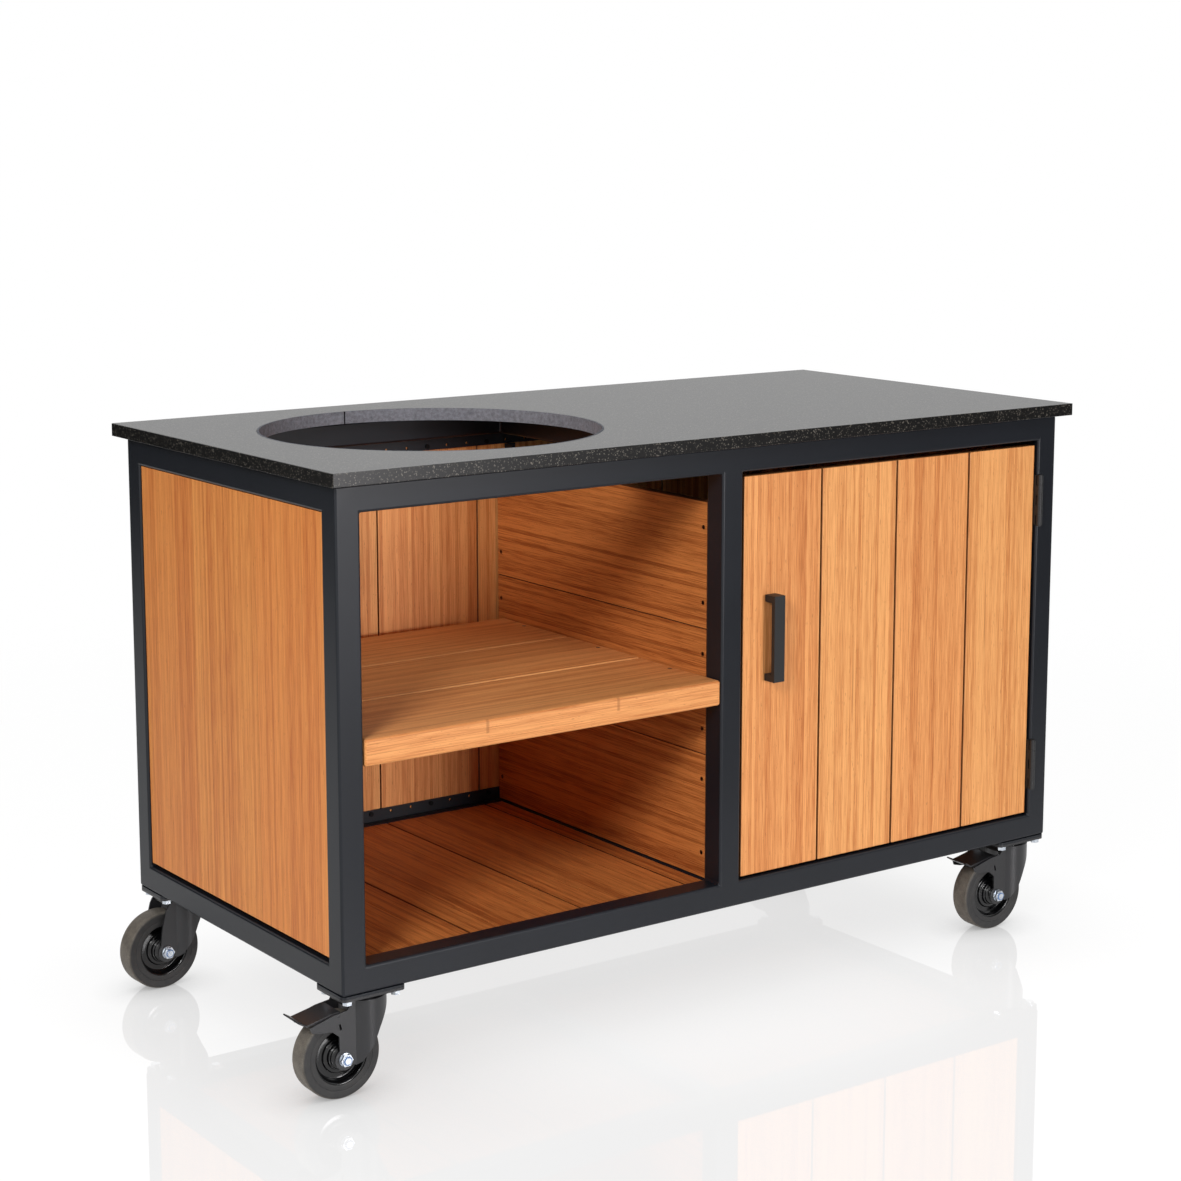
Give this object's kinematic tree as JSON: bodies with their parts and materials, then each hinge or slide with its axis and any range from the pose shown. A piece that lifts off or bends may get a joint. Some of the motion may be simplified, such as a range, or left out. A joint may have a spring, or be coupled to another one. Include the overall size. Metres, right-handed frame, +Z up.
{
  "type": "outdoor kitchen cabinet",
  "caption": "Wheeled outdoor kitchen cabinet: steel tube frame, stone worktop with a round grill cut-out, bamboo panels, an open bay with a shelf and a cupboard with one door.",
  "frame": {"origin": "on the floor, in the middle of the footprint that the worktop, frame, wheels and brake pedals cover at rest", "axes": "+X to the viewer's right when facing the door, +Y to the back, +Z up"},
  "size_m": [1.476, 0.695, 0.9105],
  "materials": {
    "frame_steel": "anthracite fine-texture powder coat",
    "stone": "honed black stone",
    "felt": "blue-grey felt band",
    "bedding": "matte black tape",
    "bamboo": "oiled bamboo with fine strands",
    "screw_zinc": "zinc plated",
    "black_steel": "matte black",
    "magnet_case": "matte black",
    "caster_steel": "satin black",
    "axle_zinc": "zinc plated",
    "rim": "gloss black",
    "tyre_rubber": "dark grey rubber"
  },
  "bodies": {
    "cabinet": {"front_left_post": "frame_steel", "front_right_post": "frame_steel", "rear_left_post": "frame_steel", "rear_right_post": "frame_steel", "centre_post": "frame_steel", "front_top_rail": "frame_steel", "front_bottom_rail": "frame_steel", "rear_top_rail": "frame_steel", "rear_bottom_rail": "frame_steel", "left_rails": "frame_steel", "right_rails": "frame_steel", "centre_rails": "frame_steel", "caster_pads": "frame_steel", "left_panel_strips": "frame_steel", "right_panel_strips": "frame_steel", "rear_panel_strips": "frame_steel", "divider_strips": "frame_steel", "floor_ledges": "frame_steel", "shelf_angles": "frame_steel", "worktop": "stone", "cutout_liner": "felt", "worktop_bedding": "bedding", "left_panel": "bamboo", "right_panel": "bamboo", "rear_boards": "bamboo", "divider_boards": "bamboo", "floor_boards": "bamboo", "shelf_boards": "bamboo", "panel_screws": "screw_zinc", "hinge_pins": "screw_zinc", "caster_bolts": "screw_zinc", "hinge_frame_leaves": "black_steel", "shelf_screws": "black_steel", "door_magnet": "magnet_case", "caster_plates": "caster_steel"},
    "door": {"door_boards": "bamboo", "door_battens": "bamboo", "door_screws": "screw_zinc", "handle": "black_steel", "handle_screws": "screw_zinc", "hinge_door_leaves": "black_steel", "strike_plate": "screw_zinc"},
    "front_left_swivel": {"front_left_fork": "caster_steel", "front_left_axle": "axle_zinc"},
    "front_left_wheel": {"front_left_rim": "rim", "front_left_tyre": "tyre_rubber"},
    "front_left_brake": {"front_left_brake": "caster_steel"},
    "front_right_swivel": {"front_right_fork": "caster_steel", "front_right_axle": "axle_zinc"},
    "front_right_wheel": {"front_right_rim": "rim", "front_right_tyre": "tyre_rubber"},
    "front_right_brake": {"front_right_brake": "caster_steel"},
    "rear_left_swivel": {"rear_left_fork": "caster_steel", "rear_left_axle": "axle_zinc"},
    "rear_left_wheel": {"rear_left_rim": "rim", "rear_left_tyre": "tyre_rubber"},
    "rear_right_swivel": {"rear_right_fork": "caster_steel", "rear_right_axle": "axle_zinc"},
    "rear_right_wheel": {"rear_right_rim": "rim", "rear_right_tyre": "tyre_rubber"}
  },
  "joints": [
    {"name": "door_hinge", "type": "hinge", "parent": "cabinet", "child": "door", "pos_m": [0.68275, -0.3305, 0.519], "axis": [0, 0, 1], "range_deg": [0, 175]},
    {"name": "front_left_swivel_turn", "type": "hinge", "parent": "cabinet", "child": "front_left_swivel", "pos_m": [-0.62475, -0.285, 0.1412], "axis": [0, 0, 1], "continuous": true},
    {"name": "front_left_wheel_spin", "type": "hinge", "parent": "front_left_swivel", "child": "front_left_wheel", "pos_m": [-0.66674, -0.28397, 0.0625], "axis": [-0.0244, -0.9997, 0], "continuous": true},
    {"name": "front_left_brake_press", "type": "hinge", "parent": "front_left_swivel", "child": "front_left_brake", "pos_m": [-0.67673, -0.28373, 0.1285], "axis": [0.0244, 0.9997, 0], "range_deg": [0, 12]},
    {"name": "front_right_swivel_turn", "type": "hinge", "parent": "cabinet", "child": "front_right_swivel", "pos_m": [0.67025, -0.285, 0.1412], "axis": [0, 0, 1], "continuous": true},
    {"name": "front_right_wheel_spin", "type": "hinge", "parent": "front_right_swivel", "child": "front_right_wheel", "pos_m": [0.62828, -0.28339, 0.0625], "axis": [-0.0384, -0.9993, 0], "continuous": true},
    {"name": "front_right_brake_press", "type": "hinge", "parent": "front_right_swivel", "child": "front_right_brake", "pos_m": [0.61829, -0.283, 0.1285], "axis": [0.0384, 0.9993, 0], "range_deg": [0, 12]},
    {"name": "rear_left_swivel_turn", "type": "hinge", "parent": "cabinet", "child": "rear_left_swivel", "pos_m": [-0.62475, 0.285, 0.1412], "axis": [0, 0, 1], "continuous": true},
    {"name": "rear_left_wheel_spin", "type": "hinge", "parent": "rear_left_swivel", "child": "rear_left_wheel", "pos_m": [-0.66671, 0.28324, 0.0625], "axis": [0.0419, -0.9991, 0], "continuous": true},
    {"name": "rear_right_swivel_turn", "type": "hinge", "parent": "cabinet", "child": "rear_right_swivel", "pos_m": [0.67025, 0.285, 0.1412], "axis": [0, 0, 1], "continuous": true},
    {"name": "rear_right_wheel_spin", "type": "hinge", "parent": "rear_right_swivel", "child": "rear_right_wheel", "pos_m": [0.62831, 0.2828, 0.0625], "axis": [0.0523, -0.9986, 0], "continuous": true}
  ]
}
